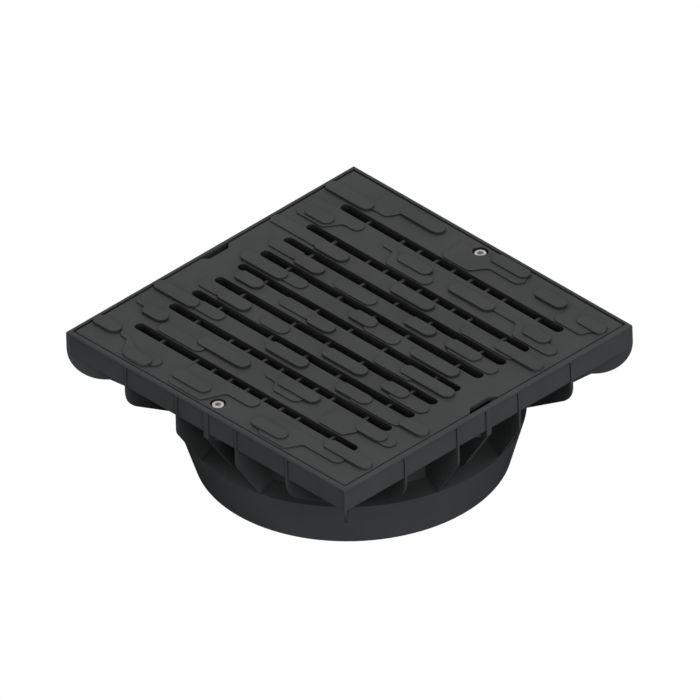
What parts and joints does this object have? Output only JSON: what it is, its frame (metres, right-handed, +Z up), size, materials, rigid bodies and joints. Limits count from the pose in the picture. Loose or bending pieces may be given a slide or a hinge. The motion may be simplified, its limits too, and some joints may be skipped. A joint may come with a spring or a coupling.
{
  "type": "drain grate",
  "caption": "Square moulded drain grate with long slots and raised anti-slip tongues, screwed into a ribbed funnel frame whose tapered spigot plugs into an upright drain pipe.",
  "frame": {"origin": "on the spigot's axis, at the spigot's lower end", "axes": "+Z up out of the paving, X along the slots, Y towards the two screwed sides"},
  "size_m": [0.395, 0.395, 0.15],
  "materials": {
    "dark_plastic": "moulded, matt",
    "stainless": "plain stainless"
  },
  "bodies": {
    "root": {"frame": "dark_plastic", "grate": "dark_plastic", "lock_screws": "stainless", "captive_nuts": "stainless"}
  },
  "joints": []
}
